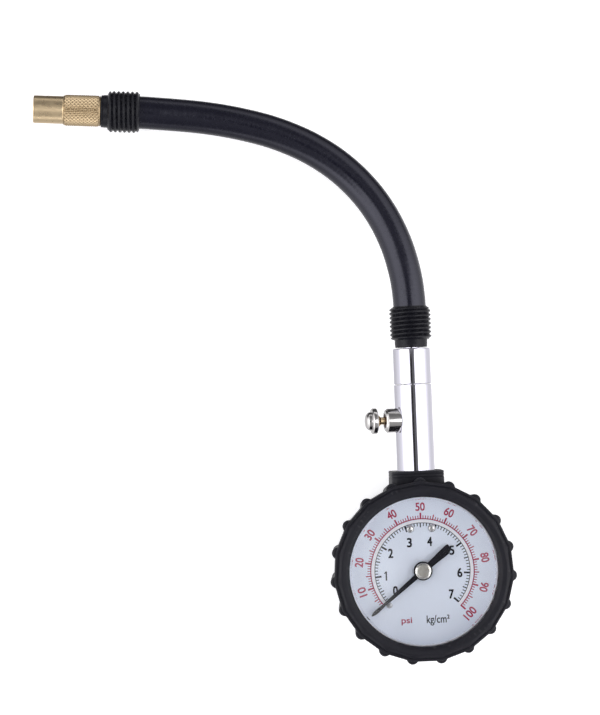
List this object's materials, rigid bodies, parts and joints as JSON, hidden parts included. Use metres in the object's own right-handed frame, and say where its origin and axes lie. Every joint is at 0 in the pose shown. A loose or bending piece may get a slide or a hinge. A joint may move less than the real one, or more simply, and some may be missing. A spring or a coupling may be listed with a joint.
{
  "type": "tyre pressure gauge",
  "caption": "Dial tyre pressure gauge in a knobbed rubber boot, with a metal stem, side bleed valve, curved flexible hose and screw-on brass chuck.",
  "frame": {"origin": "centre of the rubber boot's flat back, under the centre of the dial", "axes": "+Z out of the dial, +Y from the dial along the stem towards the hose, +X to the right of the dial"},
  "size_m": [0.1556, 0.1961, 0.03],
  "materials": {
    "boot_rubber": "matte moulded rubber",
    "case_steel": "drawn steel",
    "lens_clear": "clear, glossy",
    "seal_rubber": "matte",
    "dial_white": "white painted dial",
    "screw_steel": "bright plated",
    "pointer_black": "satin black",
    "cap_silver": "turned",
    "movement_brass": "satin",
    "tube_bronze": "satin",
    "stem_chrome": "polished",
    "valve_chrome": "polished",
    "spring_steel": "drawn wire",
    "hose_rubber": "smooth, slightly glossy",
    "collar_black": "black anodised look",
    "chuck_brass": "turned and knurled",
    "dark_brass": "dull"
  },
  "bodies": {
    "housing": {"rubber_boot": "boot_rubber", "gauge_case": "case_steel", "bezel_ring": "case_steel", "lens": "lens_clear", "lens_gasket": "seal_rubber", "dial_plate": "dial_white", "dial_ring": "dial_white", "dial_screw_left": "screw_steel", "dial_screw_right": "screw_steel", "zero_stop_pin": "screw_steel", "hairspring": "tube_bronze", "movement_back_plate": "movement_brass", "movement_front_plate": "movement_brass", "movement_pillar_a": "movement_brass", "movement_pillar_b": "movement_brass", "movement_pillar_c": "movement_brass", "movement_screw_a": "screw_steel", "movement_screw_b": "screw_steel", "bourdon_tube": "tube_bronze", "gauge_socket": "movement_brass", "case_screw_a": "screw_steel", "case_screw_b": "screw_steel", "socket_washer": "seal_rubber", "main_tube": "stem_chrome", "hose_connector": "stem_chrome", "connector_seal": "seal_rubber", "bleed_valve_body": "valve_chrome", "bleed_spring": "spring_steel", "hose": "hose_rubber", "hose_collar_gauge": "collar_black", "hose_collar_chuck": "collar_black", "chuck_barb": "dark_brass", "chuck_retaining_ring": "spring_steel"},
    "pointer": {"pointer_needle": "pointer_black", "pointer_hub_cap": "cap_silver", "pinion_arbor": "movement_brass"},
    "sector": {"sector_gear": "movement_brass", "sector_arbor": "screw_steel"},
    "link": {"link_bar": "movement_brass"},
    "tube_tip": {"bourdon_tip": "movement_brass"},
    "bleed_button": {"bleed_button": "valve_chrome", "bleed_seal": "seal_rubber"},
    "chuck": {"chuck_body": "chuck_brass", "swivel_seal": "seal_rubber", "tyre_valve_seal": "seal_rubber", "check_spring": "spring_steel"},
    "check_valve": {"check_poppet": "dark_brass", "check_seal": "seal_rubber"}
  },
  "joints": [
    {"name": "pointer_turn", "type": "hinge", "parent": "housing", "child": "pointer", "pos_m": [0, 0, 0.0188], "axis": [0, 0, -1], "range_deg": [0, 264], "stiffness_Nm_per_rad": 0.00002, "springref_deg": -11.46},
    {"name": "sector_swing", "type": "hinge", "parent": "housing", "child": "sector", "pos_m": [-0.01015, 0.00473, 0.0188], "axis": [0, 0, 1], "range_deg": [0, 38]},
    {"name": "link_turn", "type": "hinge", "parent": "sector", "child": "link", "pos_m": [-0.01375, 0.00821, 0.0177], "axis": [0, 0, 1], "range_deg": [-31, 0]},
    {"name": "tip_swing", "type": "hinge", "parent": "housing", "child": "tube_tip", "pos_m": [0.0043, -0.0052, 0.01], "axis": [0, 0, 1], "range_deg": [0, 8.5], "deforming": ["bourdon_tube"]},
    {"name": "bleed_press", "type": "slide", "parent": "housing", "child": "bleed_button", "axis": [0.9936, 0, -0.1132], "range_m": [0, 0.0014], "stiffness_N_per_m": 1500, "springref_m": -0.001, "deforming": ["bleed_spring"]},
    {"name": "chuck_swivel", "type": "hinge", "parent": "housing", "child": "chuck", "pos_m": [-0.10125, 0.15864, 0.00715], "axis": [-0.9978, 0.0663, 0], "continuous": true},
    {"name": "check_slide", "type": "slide", "parent": "chuck", "child": "check_valve", "axis": [0.9978, -0.0663, 0], "range_m": [0, 0.0015], "stiffness_N_per_m": 800, "springref_m": -0.001, "deforming": ["check_spring"]}
  ],
  "couplings": [
    {"joint": "sector_swing", "follows": "pointer_turn", "ratio": 0.14286},
    {"joint": "link_turn", "follows": "pointer_turn", "ratio": -0.11667},
    {"joint": "tip_swing", "follows": "pointer_turn", "ratio": 0.031818}
  ]
}
